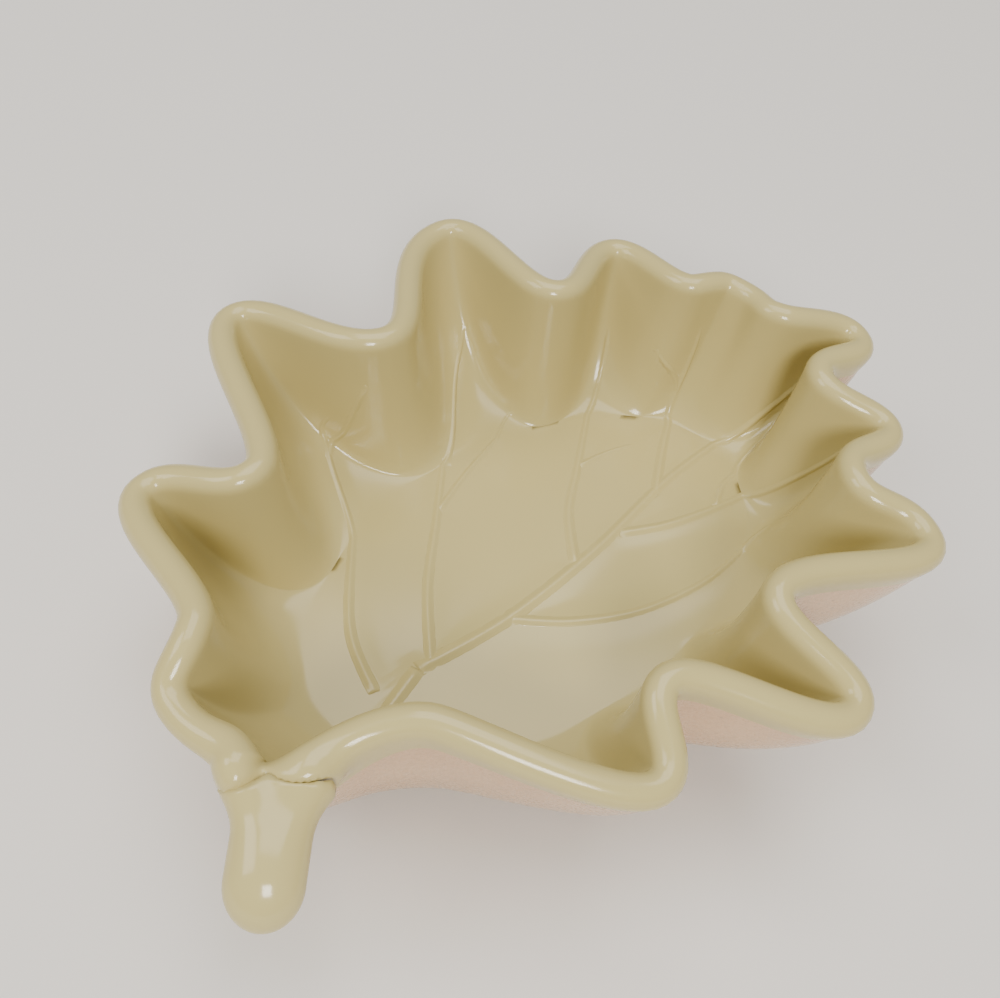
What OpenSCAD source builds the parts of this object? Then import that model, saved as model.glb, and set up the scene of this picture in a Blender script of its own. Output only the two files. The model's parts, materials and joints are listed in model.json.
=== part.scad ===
// Leaf-shaped ring dish in glazed earthenware, all sizes in millimetres.
// The stalk points to -Y, the tip of the leaf to +Y, and the foot stands on z = 0.

/* [Wall and glaze] */
// Radius of the full-round lip, which is half the glazed wall's thickness
lip_r = 2.5; // [2.3:0.1:2.6]
// Thickness of the green glaze on the inside and over the lip
glaze_t = 0.4; // [0.3:0.1:0.6]
// Share of the wall's height at which the glaze ends on the outside
glaze_end = 0.92; // [0.88:0.01:0.94]

/* [Bowl] */
// Height of the inside floor above the table
floor_z = 8; // [7:0.5:10]
// Half the width of the flat oval floor
floor_half_w = 28; // [26:1:29]
// Half the length of the flat oval floor
floor_half_l = 46; // [42:1:47]
// Slope of the wall at a notch, in degrees from level, where it meets the lip
notch_slope = 82; // [76:1:84]
// Slope of the wall at the tip of a lobe, which flares out more
lobe_slope = 62; // [55:1:70]
// Depth of the saddle in the lip where the stalk leaves the bowl
saddle = 3; // [1:0.5:4]

/* [Stalk] */
// Width of the stalk along its straight part
stalk_w = 10.4; // [9:0.2:12]
// Thickness of the stalk from top to bottom
stalk_t = 8; // [6:0.5:9]
// Length of the stalk from the middle of the wall to its end
stalk_len = 17.5; // [14:0.5:24]
// Height that the stalk drops between the lip and its end
stalk_drop = 5; // [2:0.5:8]
// Depth of the hollow along the top of the stalk at the lip
stalk_hollow = 2; // [0:0.5:3]

/* [Foot] */
// Outer radius of the foot ring
foot_r = 27; // [24:0.5:28]
// Width of the flat face that the dish stands on
foot_w = 4; // [3:0.5:6]

/* [Veins] */
// Width of the midrib at the foot of the stalk
midrib_w = 3; // [2:0.2:4]
// Width of a side vein where it leaves the midrib
vein_w = 2.2; // [1.6:0.2:3]
// Height of the veins above the glazed surface
vein_h = 0.5; // [0.3:0.1:0.8]

/* [Hidden] */

// Centre line of the lip, clockwise from the stalk, one row for each notch and each lobe tip:
// x, y, height, heading of the line in degrees, reach of its curve handles, and the root,
// which is the place on the oval floor that this part of the wall rises from,
// in degrees clockwise from the stalk
rim = [
    [  9, -65, 33, 160,  4, -12],
    [ -2, -67, 32, 180,  6,   2],
    [-10, -59, 36, 135,  6,  16],
    [-37, -52, 32, 105,  7,  37],
    [-27, -38, 36, 105,  7,  52],
    [-61, -21, 32, 100,  8,  73],
    [-38,  -6, 36,  70,  9,  88],
    [-57,  21, 33,  95, 12, 104],
    [-30,  26, 36,  40,  7, 119],
    [-34,  46, 33,  65,  6, 132],
    [-16,  50, 35,  65,  5, 148],
    [-10,  57, 34,  10,  5, 161],
    [ -1,  57, 35,  30,  4, 174],
    [ 10,  67, 32, 335,  6, 188],
    [ 12,  52, 34, 310,  6, 202],
    [ 27,  53, 32, 325,  5, 217],
    [ 30,  38, 34, 325,  7, 231],
    [ 45,  39, 32, 330,  8, 244],
    [ 37,  10, 36, 280,  8, 259],
    [ 56,   5, 32, 285,  7, 271],
    [ 37, -14, 36, 260,  6, 284],
    [ 46, -25, 32, 260,  6, 297],
    [ 22, -43, 36, 215,  5, 318],
    [ 15, -57, 33, 265,  5, 335]];
knots = len(rim);
// Stations around the dish for each piece of the rim between two rows
per_knot = 6;
stations = knots * per_knot;

mid_floor_z = floor_z - lip_r;
under_floor_z = floor_z - 2 * lip_r + glaze_t;
clay_half = lip_r - glaze_t;

// Shares of the wall's height, from the floor to the lip, at which the surfaces have a ring
inner_shares = [0, 0.12, 0.25, 0.38, 0.5, 0.62, 0.74, 0.84, 0.92, 1];
outer_shares = [1, glaze_end, 0.82, 0.7, 0.56, 0.42, 0.28, 0.14, 0];
// Angles round the lip, from its inner side over its top to its outer side
lip_angles = [45, 90, 135];

// Where the stalk leaves the middle of the wall, and the way it points
stalk_root = [14, -62];
stalk_bearing = -45;
stalk_top_z = 35;
// The stalk's full section starts this far out, and a round end of this length closes it
root_out = 1.5;
root_round = 2;

// The veins. Each has its points on the flat floor as x and y, then its points on the wall as
// a place along the rim (in rows of the table above) and a share of the wall's height
midrib_near = [[[3, -30]], [[23.7, 0], [23.5, 0.5], [23.5, 0.9]]];
midrib_far = [[[3, -30], [5, -12], [4, 10], [1, 31]], [[12.5, 0], [12.4, 0.45], [12.7, 0.8], [13, 0.95]]];
left_1 = [[[2, -38], [-10, -34]], [[4.4, 0], [5, 0.35], [5.6, 0.65]]];
left_2 = [[[4, -28], [-8, -19], [-18, -9]], [[6.2, 0], [6.8, 0.38], [7.2, 0.65]]];
left_3 = [[[4, 5], [-5, 12], [-12, 21]], [[9.1, 0], [9.2, 0.44], [9.2, 0.7]]];
left_4 = [[[2, 28], [-4, 36]], [[11, 0], [10.4, 0.5], [10.2, 0.85]]];
right_1 = [[[5, -12], [12, -4], [18, 7], [21, 20]], [[15.8, 0], [15.4, 0.35]]];
right_2 = [[[4, 16], [8, 24], [11, 34]], [[14.3, 0], [14.5, 0.5], [14.8, 0.9]]];
fork_left_1 = [[], [[5, 0.35], [5.6, 0.55], [5.9, 0.85]]];
fork_left_2 = [[[-20, -7], [-24, 4]], [[7.2, 0], [7.8, 0.3]]];
fork_left_3 = [[[-12, 21], [-11, 28], [-9, 35]], []];
fork_left_4 = [[], [[10.5, 0.42], [10.1, 0.55], [9.8, 0.7]]];
fork_right_2 = [[[11, 35], [8.5, 40]], [[13.6, 0], [12.9, 0.5]]];
// A twig is narrower than the vein that it leaves, and every vein thins towards its end
twig_share = 0.75;
end_share = 0.5;
vein_seat = 0.2;

clay = "Peru";
green = "DarkKhaki";

function unit(a) = a / norm(a);
function mix(a, b, s) = a + (b - a) * s;
function ease(s) = s * s * (3 - 2 * s);
function heading(a) = [cos(a), sin(a), 0];
function row(i) = rim[(i + knots) % knots];

// Cubic through b at s = 0 and c at s = 1, with its slopes from the points before and after
function through(a, b, c, d, s) =
    (2 * pow(s, 3) - 3 * s * s + 1) * b + (pow(s, 3) - 2 * s * s + s) * (c - a) / 2
    + (3 * s * s - 2 * pow(s, 3)) * c + (pow(s, 3) - s * s) * (d - b) / 2;

// Place of the lip's centre line at u rows of the table, a chain of cubic curves
function rim_point(u) =
    let (i = floor(u + knots) % knots, s = u - floor(u), a = row(i), b = row(i + 1))
    let (p = [a.x, a.y, a.z], q = [b.x, b.y, b.z])
    let (p1 = p + heading(a[3]) * a[4], q1 = q - heading(b[3]) * b[4])
    let (dip = i == knots - 1 ? saddle * pow(sin(180 * s), 2) : 0)
    pow(1 - s, 3) * p + 3 * pow(1 - s, 2) * s * p1 + 3 * (1 - s) * s * s * q1 + pow(s, 3) * q
    - [0, 0, dip];

// Angle round the oval floor of row i, counting on past a full turn
function root(i) = row(i)[5] + (i < 0 ? -360 : i >= knots ? 360 : 0);
function root_at(u) =
    let (i = floor(u + knots) % knots, s = u - floor(u))
    270 - through(root(i - 1), root(i), root(i + 1), root(i + 2), s);
function floor_edge(u) =
    [floor_half_w * cos(root_at(u)), floor_half_l * sin(root_at(u)), mid_floor_z];

// Slope of the wall at the lip: rows with an odd number are lobes, the others notches
function slope_of(i) = (i + knots) % 2 == 1 ? lobe_slope : notch_slope;
function slope_at(u) = mix(slope_of(floor(u)), slope_of(floor(u) + 1), ease(u - floor(u)));

// Middle of the wall: an arc from the edge of the floor, level there, up to the lip
function wall(u, v) =
    let (r = rim_point(u), f = floor_edge(u), a = slope_at(u))
    let (out = sin(a * v) / sin(a), up = (1 - cos(a * v)) / (1 - cos(a)))
    [mix(f.x, r.x, out), mix(f.y, r.y, out), mix(f.z, r.z, up)];

step = 0.002;
function along_rim(u, v) = wall(u + step, v) - wall(u - step, v);
function up_wall(u, v) = wall(u, v + step) - wall(u, v - step);
// Normal of the wall, on the side of the bowl's inside
function wall_normal(u, v) = v == 0 ? [0, 0, 1] : unit(cross(along_rim(u, v), up_wall(u, v)));
// A point of the surface at height h over the middle of the wall
function off_wall(u, v, h) = wall(u, v) + wall_normal(u, v) * h;
// A point of the rounded lip, at angle a over the lip from its inner side
function lip_point(u, a, r) =
    wall(u, 1) + wall_normal(u, 1) * r * cos(a) + unit(up_wall(u, 1)) * r * sin(a);

// Rings of points round the dish, anticlockwise from above
function wall_ring(v, h) = [for (k = [0 : stations - 1]) off_wall(-k / per_knot, v, h)];
function lip_ring(a, r) = [for (k = [0 : stations - 1]) lip_point(-k / per_knot, a, r)];

// One closed skin over a list of rings, drawn to a point at each end
module skin(rings, start, end) {
    n = len(rings[0]);
    last = len(rings) - 1;
    pole = 1 + n * len(rings);
    points = concat([start], [for (ring = rings) each ring], [end]);
    faces = concat(
        [for (k = [0 : n - 1]) [0, 1 + (k + 1) % n, 1 + k]],
        [for (j = [0 : last - 1], k = [0 : n - 1])
            let (a = 1 + j * n + k, b = 1 + j * n + (k + 1) % n)
            each [[a, b, a + n], [b, b + n, a + n]]],
        [for (k = [0 : n - 1]) [pole, 1 + last * n + k, 1 + last * n + (k + 1) % n]]);
    polyhedron(points, faces, convexity = 8);
}

// Clay shell: inner surface, lip, outer surface and the flat underside of the floor
module leaf_body() {
    rings = concat(
        [for (v = inner_shares) wall_ring(v, clay_half)],
        [for (a = lip_angles) lip_ring(a, clay_half)],
        [for (v = outer_shares) wall_ring(v, -clay_half)]);
    color(clay) skin(rings, [0, 0, mid_floor_z + clay_half], [0, 0, mid_floor_z - clay_half]);
}

// Green glaze over the inside and the lip, thinning to nothing just below the lip outside
module glaze_coat() {
    outside = concat(
        [for (v = inner_shares) wall_ring(v, lip_r)],
        [for (a = lip_angles) lip_ring(a, lip_r)],
        [wall_ring(1, -lip_r), wall_ring(glaze_end, -clay_half)]);
    against_clay = concat(
        [wall_ring(1, -clay_half)],
        [for (a = [135, 90, 45]) lip_ring(a, clay_half)],
        [for (k = [len(inner_shares) - 1 : -1 : 0]) wall_ring(inner_shares[k], clay_half)]);
    color(green) skin(concat(outside, against_clay), [0, 0, floor_z], [0, 0, floor_z - glaze_t]);
}

// Section of the stalk at share t of its length, scaled down towards the rounded end
function stalk_ring(t, scale) =
    let (flare = 2.4 * pow(max(0, 1 - t / 0.4), 2))
    let (half_w = (stalk_w / 2 + flare) * scale, half_t = stalk_t / 2 * scale)
    let (centre_z = stalk_top_z - stalk_t / 2 - stalk_drop * pow(max(t, 0), 1.5))
    let (hollow = stalk_hollow * pow(max(0, 1 - t / 0.8), 2))
    let (across = heading(stalk_bearing + 90), ahead = heading(stalk_bearing))
    [for (k = [0 : 17])
        let (a = -20 * k, dent = max(0, sin(a)) * pow(sin(a), 2) * hollow)
        [stalk_root.x, stalk_root.y, centre_z + half_t * sin(a) - dent]
        + ahead * stalk_len * t + across * half_w * cos(a)];

// Stalk, joined to the wall under the saddle by a rounded end inside the clay
module stalk_handle() {
    inside_wall = [for (b = [75, 50, 25]) stalk_ring((root_out - root_round * sin(b)) / stalk_len, cos(b))];
    straight = [for (t = [root_out / stalk_len, 0.15, 0.22, 0.32, 0.45, 0.58, 0.7]) stalk_ring(t, 1)];
    rounded = [for (b = [20, 40, 60, 76]) stalk_ring(0.7 + 0.3 * sin(b), cos(b))];
    root_z = stalk_top_z - stalk_t / 2;
    tip = [stalk_root.x, stalk_root.y, 0] + heading(stalk_bearing) * stalk_len;
    start = [stalk_root.x, stalk_root.y, 0] + heading(stalk_bearing) * (root_out - root_round);
    color(green) skin(concat(inside_wall, straight, rounded), [start.x, start.y, root_z],
        [tip.x, tip.y, root_z - stalk_drop]);
}

// Foot ring, turned true, with a narrow flat face and rounded shoulders
module foot_ring() {
    inner_r = foot_r - foot_w;
    chamfer = 0.8;
    spread = 1;
    color(clay) rotate_extrude($fn = 96) polygon([
        [inner_r - spread, under_floor_z], [inner_r - spread, chamfer + 0.4],
        [inner_r, 0], [foot_r, 0],
        [foot_r + chamfer, chamfer], [foot_r + spread, under_floor_z]]);
}

// Points of a vein: [place, normal] along the floor and then up the wall
function wall_spot(p, h) = [off_wall(p[0], p[1], lip_r - h), wall_normal(p[0], p[1])];
function floor_spot(p, h) = [[p[0], p[1], floor_z - h], [0, 0, 1]];
function spread_out(list, n) =
    len(list) < 2 ? [] :
    [for (i = [0 : len(list) - 2], k = [0 : n - 1])
        through(list[max(i - 1, 0)], list[i], list[i + 1], list[min(i + 2, len(list) - 1)], k / n)];
function vein_spots(vein) =
    let (edge = len(vein[1]) == 0 ? [] : [floor_edge(vein[1][0][0])])
    let (flat = [for (p = concat(vein[0], edge)) [p[0], p[1]]])
    concat(
        [for (p = spread_out(flat, 4)) floor_spot(p, 0)],
        len(vein[0]) > 0 && len(vein[1]) == 0 ? [floor_spot(flat[len(flat) - 1], 0)] : [],
        [for (p = spread_out(vein[1], 5)) wall_spot(p, 0)],
        len(vein[1]) == 0 ? [] : [wall_spot(vein[1][len(vein[1]) - 1], 0)]);

// Low rounded ridge of width w along the given spots, seated a little into the glaze
module ridge(spots, w) {
    last = len(spots) - 1;
    rings = [for (i = [0 : last])
        let (p = spots[i][0], n = spots[i][1])
        let (ahead = unit(spots[min(i + 1, last)][0] - spots[max(i - 1, 0)][0]))
        let (side = unit(cross(n, ahead)), size = mix(1, end_share, i / last))
        let (half = w / 2 * size, top = vein_h * size)
        [p + side * half - n * vein_seat, p - side * half - n * vein_seat,
         p - side * half * 0.5 + n * top * 0.75, p + n * top, p + side * half * 0.5 + n * top * 0.75]];
    ahead_first = unit(spots[1][0] - spots[0][0]);
    ahead_last = unit(spots[last][0] - spots[last - 1][0]);
    skin(rings, spots[0][0] - ahead_first * w * 0.3, spots[last][0] + ahead_last * w * 0.4);
}

// Side vein, with the twig that forks off it where it has one
module vein(path, fork) {
    color(green) union() {
        ridge(vein_spots(path), vein_w);
        if (fork) ridge(vein_spots(fork), vein_w * twig_share);
    }
}

// Midrib, one ridge from the saddle at the stalk across the floor to the leaf's tip
module midrib() {
    near = vein_spots(midrib_near);
    rise = [for (i = [len(near) - 1 : -1 : 1]) near[i]];
    color(green) ridge(concat(rise, vein_spots(midrib_far)), midrib_w);
}

leaf_body();
glaze_coat();
stalk_handle();
foot_ring();
midrib();
vein(left_1, fork_left_1);  // vein_left_1
vein(left_2, fork_left_2);  // vein_left_2
vein(left_3, fork_left_3);  // vein_left_3
vein(left_4, fork_left_4);  // vein_left_4
vein(right_1);  // vein_right_1
vein(right_2, fork_right_2);  // vein_right_2
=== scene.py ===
import json
import math

import bpy
import numpy as np
from mathutils import Matrix, Vector

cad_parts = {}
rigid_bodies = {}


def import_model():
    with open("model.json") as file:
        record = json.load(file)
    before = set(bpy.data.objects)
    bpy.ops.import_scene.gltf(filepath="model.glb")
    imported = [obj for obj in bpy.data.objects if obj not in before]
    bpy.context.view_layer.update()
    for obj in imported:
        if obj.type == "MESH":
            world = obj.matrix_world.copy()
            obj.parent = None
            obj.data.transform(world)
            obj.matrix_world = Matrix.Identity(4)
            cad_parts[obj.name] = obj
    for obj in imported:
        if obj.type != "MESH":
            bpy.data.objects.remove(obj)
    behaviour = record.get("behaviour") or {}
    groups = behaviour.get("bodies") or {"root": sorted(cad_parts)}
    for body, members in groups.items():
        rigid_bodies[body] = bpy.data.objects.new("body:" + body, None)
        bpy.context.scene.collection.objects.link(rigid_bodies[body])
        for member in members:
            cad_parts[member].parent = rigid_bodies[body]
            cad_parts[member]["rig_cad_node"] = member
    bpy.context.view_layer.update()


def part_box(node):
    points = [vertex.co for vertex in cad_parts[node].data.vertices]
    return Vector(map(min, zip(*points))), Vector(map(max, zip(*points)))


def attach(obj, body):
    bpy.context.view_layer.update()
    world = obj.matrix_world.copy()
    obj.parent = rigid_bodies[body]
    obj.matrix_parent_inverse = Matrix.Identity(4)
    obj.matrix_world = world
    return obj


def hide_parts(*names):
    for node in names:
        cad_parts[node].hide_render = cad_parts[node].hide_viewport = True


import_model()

bl_info = {
    "name": "Leaf ring dish",
    "version": (1, 0, 0),
    "blender": (4, 5, 0),
    "location": "View3D > Sidebar > Dish",
    "description": "Clay, glaze, veins, stalk and foot of a leaf-shaped ring dish",
    "category": "Add Mesh",
}

MM = 0.001
BODY = "root"

# Centre line of the lip, clockwise from the stalk, one row for each notch and each lobe tip:
# x, y, height, heading in degrees, reach of the curve handles, and the place on the oval floor
# that this part of the wall rises from, in degrees clockwise from the stalk
RIM = np.array([
    [9, -65, 33, 160, 4, -12],
    [-2, -67, 32, 180, 6, 2],
    [-10, -59, 36, 135, 6, 16],
    [-37, -52, 32, 105, 7, 37],
    [-27, -38, 36, 105, 7, 52],
    [-61, -21, 32, 100, 8, 73],
    [-38, -6, 36, 70, 9, 88],
    [-57, 21, 33, 95, 12, 104],
    [-30, 26, 36, 40, 7, 119],
    [-34, 46, 33, 65, 6, 132],
    [-16, 50, 35, 65, 5, 148],
    [-10, 57, 34, 10, 5, 161],
    [-1, 57, 35, 30, 4, 174],
    [10, 67, 32, 335, 6, 188],
    [12, 52, 34, 310, 6, 202],
    [27, 53, 32, 325, 5, 217],
    [30, 38, 34, 325, 7, 231],
    [45, 39, 32, 330, 8, 244],
    [37, 10, 36, 280, 8, 259],
    [56, 5, 32, 285, 7, 271],
    [37, -14, 36, 260, 6, 284],
    [46, -25, 32, 260, 6, 297],
    [22, -43, 36, 215, 5, 318],
    [15, -57, 33, 265, 5, 335]], float)
KNOTS = len(RIM)
# The saddle over which the stalk leaves lies between the last row and the first
SADDLE_AT = KNOTS - 0.5

# Each vein has its points on the flat floor, x and y in millimetres, and then its points on the
# wall, a place along the rim in rows of the table and a share of the wall's height
VEINS = {
    "midrib": [([(3, -30), (5, -12), (4, 10), (1, 31)], [(12.5, 0), (12.4, 0.45), (12.7, 0.8), (13, 0.95)], 1.3),
               ([(3, -30)], [(23.7, 0), (23.5, 0.5), (23.5, 0.9)], 1.3)],
    "vein_left_1": [([(2, -38), (-10, -34)], [(4.4, 0), (5, 0.35), (5.6, 0.65)], 1.0),
                    ([], [(5, 0.35), (5.6, 0.55), (5.9, 0.85)], 0.75)],
    "vein_left_2": [([(4, -28), (-8, -19), (-18, -9)], [(6.2, 0), (6.8, 0.38), (7.2, 0.65)], 1.0),
                    ([(-20, -7), (-24, 4)], [(7.2, 0), (7.8, 0.3)], 0.75)],
    "vein_left_3": [([(4, 5), (-5, 12), (-12, 21)], [(9.1, 0), (9.2, 0.44), (9.2, 0.7)], 1.0),
                    ([(-12, 21), (-11, 28), (-9, 35)], [], 0.75)],
    "vein_left_4": [([(2, 28), (-4, 36)], [(11, 0), (10.4, 0.5), (10.2, 0.85)], 1.0),
                    ([], [(10.5, 0.42), (10.1, 0.55), (9.8, 0.7)], 0.75)],
    "vein_right_1": [([(5, -12), (12, -4), (18, 7), (21, 20)], [(15.8, 0), (15.4, 0.35)], 1.0)],
    "vein_right_2": [([(4, 16), (8, 24), (11, 34)], [(14.3, 0), (14.5, 0.5), (14.8, 0.9)], 1.0),
                     ([(11, 35), (8.5, 40)], [(13.6, 0), (12.9, 0.5)], 0.75)],
}


def linear(red, green, blue):
    """Screen colour of 0 to 255 in each channel, as the linear values that a shader takes."""
    share = np.array([red, green, blue]) / 255
    return tuple(np.where(share <= 0.04045, share / 12.92, ((share + 0.055) / 1.055) ** 2.4))


class DishSizes(bpy.types.PropertyGroup):
    """Real sizes of the dish."""
    lip_radius: bpy.props.FloatProperty(
        name="Lip radius", description="Half the thickness of the glazed wall", default=2.5 * MM,
        unit="LENGTH", precision=5)
    glaze_thickness: bpy.props.FloatProperty(
        name="Glaze thickness", description="Thickness of the green glaze", default=0.4 * MM,
        unit="LENGTH", precision=5)
    glaze_end: bpy.props.FloatProperty(
        name="Glaze end", description="Share of the wall's height where the green ends outside",
        default=0.92, subtype="FACTOR", min=0.8, max=1)
    floor_half_width: bpy.props.FloatProperty(
        name="Floor half width", description="Half the width of the flat oval floor",
        default=28 * MM, unit="LENGTH", precision=4)
    floor_half_length: bpy.props.FloatProperty(
        name="Floor half length", description="Half the length of the flat oval floor",
        default=46 * MM, unit="LENGTH", precision=4)
    notch_slope: bpy.props.FloatProperty(
        name="Notch slope", description="Slope of the wall where a notch meets the lip",
        default=math.radians(82), subtype="ANGLE")
    lobe_slope: bpy.props.FloatProperty(
        name="Lobe slope", description="Slope of the wall where a lobe's tip meets the lip",
        default=math.radians(62), subtype="ANGLE")
    saddle: bpy.props.FloatProperty(
        name="Saddle", description="Depth of the lip's saddle at the stalk", default=3 * MM,
        unit="LENGTH", precision=4)
    stalk_width: bpy.props.FloatProperty(
        name="Stalk width", description="Width of the stalk along its straight part",
        default=10.4 * MM, unit="LENGTH", precision=4)
    stalk_thickness: bpy.props.FloatProperty(
        name="Stalk thickness", description="Thickness of the stalk from top to bottom",
        default=8 * MM, unit="LENGTH", precision=4)
    stalk_length: bpy.props.FloatProperty(
        name="Stalk length", description="From the middle of the wall to the stalk's end",
        default=17.5 * MM, unit="LENGTH", precision=4)
    stalk_fillet: bpy.props.FloatProperty(
        name="Stalk fillet", description="Reach of the soft joint between the stalk and the wall",
        default=5 * MM, unit="LENGTH", precision=4)
    vein_half_width: bpy.props.FloatProperty(
        name="Vein half width", description="Half the width of a side vein's ridge",
        default=1.2 * MM, unit="LENGTH", precision=5)
    vein_height: bpy.props.FloatProperty(
        name="Vein height", description="Height of a vein's ridge above the swell under it",
        default=0.45 * MM, unit="LENGTH", precision=5)
    swell_width: bpy.props.FloatProperty(
        name="Swell width", description="Reach of the soft swell on each side of a vein",
        default=2.6 * MM, unit="LENGTH", precision=5)
    swell_height: bpy.props.FloatProperty(
        name="Swell height", description="Height of the soft swell under a vein",
        default=0.3 * MM, unit="LENGTH", precision=5)
    foot_radius: bpy.props.FloatProperty(
        name="Foot radius", description="Radius of the middle of the foot ring",
        default=25 * MM, unit="LENGTH", precision=4)
    foot_half_width: bpy.props.FloatProperty(
        name="Foot half width", description="Half the width of the foot ring",
        default=3 * MM, unit="LENGTH", precision=4)


class DishColours(bpy.types.PropertyGroup):
    """Colours of the dish and of the floor under it."""
    glaze: bpy.props.FloatVectorProperty(
        name="Glaze", description="Sage green of the glaze at its usual thickness",
        default=linear(190, 174, 110), subtype="COLOR", min=0, max=1)
    # Paler green where the glaze is thin over edges, and also painted highlight on the lip's top, the veins and the
    # stalk
    glaze_thin_and_highlight: bpy.props.FloatVectorProperty(
        name="Thin glaze", description="Paler green where the glaze is thin over an edge",
        default=linear(208, 189, 130), subtype="COLOR", min=0, max=1)
    glaze_pooled: bpy.props.FloatVectorProperty(
        name="Pooled glaze", description="Deeper green where the glaze gathers",
        default=linear(168, 153, 88), subtype="COLOR", min=0, max=1)
    clay: bpy.props.FloatVectorProperty(
        name="Clay", description="Warm buff of the clay under clear gloss",
        default=linear(208, 170, 128), subtype="COLOR", min=0, max=1)
    clay_dark: bpy.props.FloatVectorProperty(
        name="Darker clay", description="Buff in the darker patches of the clay",
        default=linear(186, 142, 98), subtype="COLOR", min=0, max=1)
    floor: bpy.props.FloatVectorProperty(
        name="Floor", description="Plain pale surface that the dish stands on",
        default=linear(226, 222, 216), subtype="COLOR", min=0, max=1)


def unit(vectors):
    return vectors / (np.linalg.norm(vectors, axis=-1, keepdims=True) + 1e-12)


def smooth(share):
    """Eased step: 0 up to 0, 1 from 1 on, and a soft S between them."""
    share = np.clip(share, 0, 1)
    return share * share * (3 - 2 * share)


def through(a, b, c, d, s):
    """Cubic that passes b at s = 0 and c at s = 1, with its slopes from the points around them."""
    square, cube = s * s, s * s * s
    return ((2 * cube - 3 * square + 1) * b + (cube - 2 * square + s) * (c - a) / 2
            + (3 * square - 2 * cube) * c + (cube - square) * (d - b) / 2)


def rim_line(sizes, u):
    """Centre line of the lip at u rows of the table: one cubic curve from each row to the next,
    leaving and arriving along the rows' headings, and dipping over the stalk's saddle."""
    row = np.floor(u).astype(int) % KNOTS
    s = (u - np.floor(u))[..., None]
    a, b = RIM[row], RIM[(row + 1) % KNOTS]

    def handle(knot):
        turn = np.radians(knot[..., 3])
        level = np.stack([np.cos(turn), np.sin(turn), np.zeros_like(turn)], -1)
        return level * knot[..., 4:5]

    p, q = a[..., :3], b[..., :3]
    line = ((1 - s) ** 3 * p + 3 * (1 - s) ** 2 * s * (p + handle(a))
            + 3 * (1 - s) * s * s * (q - handle(b)) + s ** 3 * q) * MM
    line[..., 2] -= np.where(row == KNOTS - 1, sizes.saddle * np.sin(np.pi * s[..., 0]) ** 2, 0)
    return line


def floor_edge(sizes, u):
    """Edge of the flat oval floor below u rows of the rim: an ellipse, at an angle that runs
    smoothly through the roots of the rows, at the height of the middle of the floor's thickness."""
    row = np.floor(u).astype(int)

    def root(k):
        return RIM[k % KNOTS, 5] + 360 * (k // KNOTS)

    clock = through(root(row - 1), root(row), root(row + 1), root(row + 2), u - row)
    turn = np.radians(270 - clock)
    height = np.full_like(turn, floor_middle(sizes))
    return np.stack([sizes.floor_half_width * np.cos(turn), sizes.floor_half_length * np.sin(turn), height], -1)


def floor_middle(sizes):
    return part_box("leaf_body")[0].z + sizes.lip_radius - sizes.glaze_thickness


def notch_share(u):
    """1 at a notch of the rim, 0 at a lobe's tip, eased between them."""
    row = np.floor(u).astype(int)
    odd = row % 2
    ease = smooth(u - row)
    return np.where(odd == 1, ease, 1 - ease)


def wall(sizes, u, v):
    """Middle of the wall: from the floor's edge at v = 0 to the lip at v = 1 along an arc that
    starts level and ends at the slope of that part of the rim. Below 0 it runs on, level, inwards."""
    u, v = np.broadcast_arrays(np.asarray(u, float), np.asarray(v, float))
    rim, edge = rim_line(sizes, u), floor_edge(sizes, u)
    share = notch_share(u)
    arc = sizes.notch_slope * share + sizes.lobe_slope * (1 - share)
    out = np.sin(arc * v) / np.sin(arc)
    up = np.where(v > 0, (1 - np.cos(arc * v)) / (1 - np.cos(arc)), 0)
    place = edge + (rim - edge) * out[..., None]
    place[..., 2] = edge[..., 2] + (rim[..., 2] - edge[..., 2]) * up
    return place


def wall_frame(sizes, u, v):
    """Unit normal of the wall on the bowl's inside, and unit direction up the wall."""
    u, v = np.broadcast_arrays(np.asarray(u, float), np.asarray(v, float))
    step = 1e-3
    along = wall(sizes, u + step, v) - wall(sizes, u - step, v)
    rise = wall(sizes, u, v + step) - wall(sizes, u, v - step)
    normal = unit(np.cross(along, rise))
    normal[v <= 0] = (0, 0, 1)
    return normal, unit(rise)


def inside(sizes, u, v):
    """Glazed surface of the bowl's inside, half the wall's thickness over its middle."""
    return wall(sizes, u, v) + wall_frame(sizes, u, v)[0] * sizes.lip_radius


def floor_rows(sizes, u, shares, side):
    """Rings of the flat floor, each the floor's edge drawn in to a share, with the normal up
    for side 1 and down for side -1. Gives the middle places and the normals."""
    place = floor_edge(sizes, u)[None] * np.asarray(shares)[:, None, None]
    place[..., 2] = floor_middle(sizes)
    normal = np.zeros_like(place)
    normal[..., 2] = side
    return place, normal


def wall_rows(sizes, u, shares, side):
    """Rings up the wall at shares of its height, which may differ along the rim, with the
    normal inwards for side 1 and outwards for side -1."""
    shares = np.asarray(shares, float)
    v = shares[:, None] if shares.ndim == 1 else shares
    return wall(sizes, u[None], v), wall_frame(sizes, u[None], v)[0] * side


def lip_rows(sizes, u, angles):
    """Rings round the half circle of the lip, from its inner side over its top to its outer side."""
    normal, rise = wall_frame(sizes, u, np.ones_like(u))
    turn = np.radians(np.asarray(angles, float))[:, None, None]
    place = np.broadcast_to(wall(sizes, u, np.ones_like(u))[None], turn.shape[:1] + normal.shape)
    return place, normal[None] * np.cos(turn) + rise[None] * np.sin(turn)


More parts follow.
